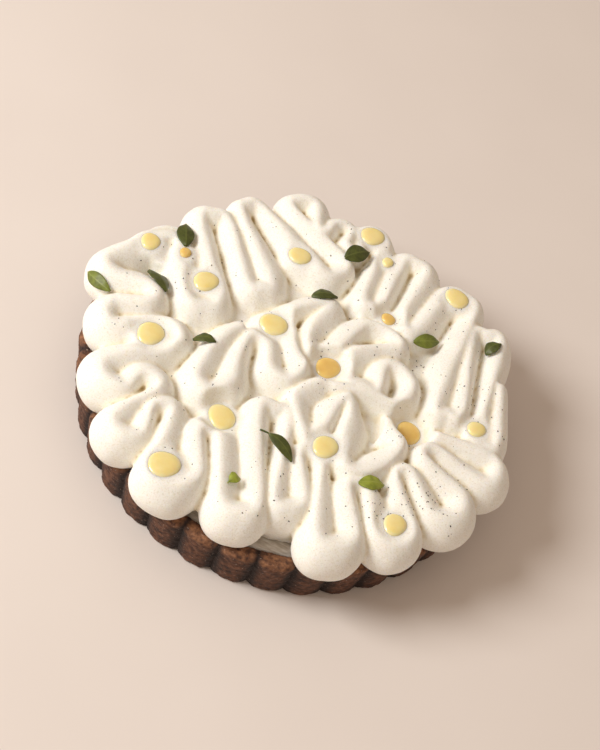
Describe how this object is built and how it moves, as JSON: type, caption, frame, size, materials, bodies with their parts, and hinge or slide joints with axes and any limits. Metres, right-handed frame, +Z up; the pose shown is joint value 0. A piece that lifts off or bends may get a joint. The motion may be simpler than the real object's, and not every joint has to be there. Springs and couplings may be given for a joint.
{
  "type": "lemon cream tart",
  "caption": "Whole round lemon tart in a fluted chocolate crust, topped with folded lobes of piped white cream, drops of lemon gel and small basil leaves.",
  "frame": {"origin": "on the table under the middle of the crust's flat underside", "axes": "+Z up out of the tart; +X to the right and +Y to the back"},
  "size_m": [0.2195, 0.2059, 0.0505],
  "materials": {
    "crust": "dry crumbly chocolate pastry",
    "filling": "smooth set pale cream",
    "cream": "soft whipped cream, satin",
    "gel": "clear wet gel",
    "leaf": "fresh leaf with a soft sheen"
  },
  "bodies": {
    "root": {"crust": "crust", "filling": "filling", "cream": "cream", "gel_drop_01": "gel", "gel_drop_02": "gel", "gel_drop_03": "gel", "gel_drop_04": "gel", "gel_drop_05": "gel", "gel_drop_06": "gel", "gel_drop_07": "gel", "gel_drop_08": "gel", "gel_drop_09": "gel", "gel_drop_10": "gel", "gel_drop_11": "gel", "gel_drop_12": "gel", "gel_drop_13": "gel", "gel_drop_14": "gel", "gel_drop_15": "gel", "gel_drop_16": "gel", "gel_drop_17": "gel", "leaf_01": "leaf", "leaf_02": "leaf", "leaf_03": "leaf", "leaf_04": "leaf", "leaf_05": "leaf", "leaf_06": "leaf", "leaf_07": "leaf", "leaf_08": "leaf", "leaf_09": "leaf", "leaf_10": "leaf", "leaf_11": "leaf"}
  },
  "joints": []
}
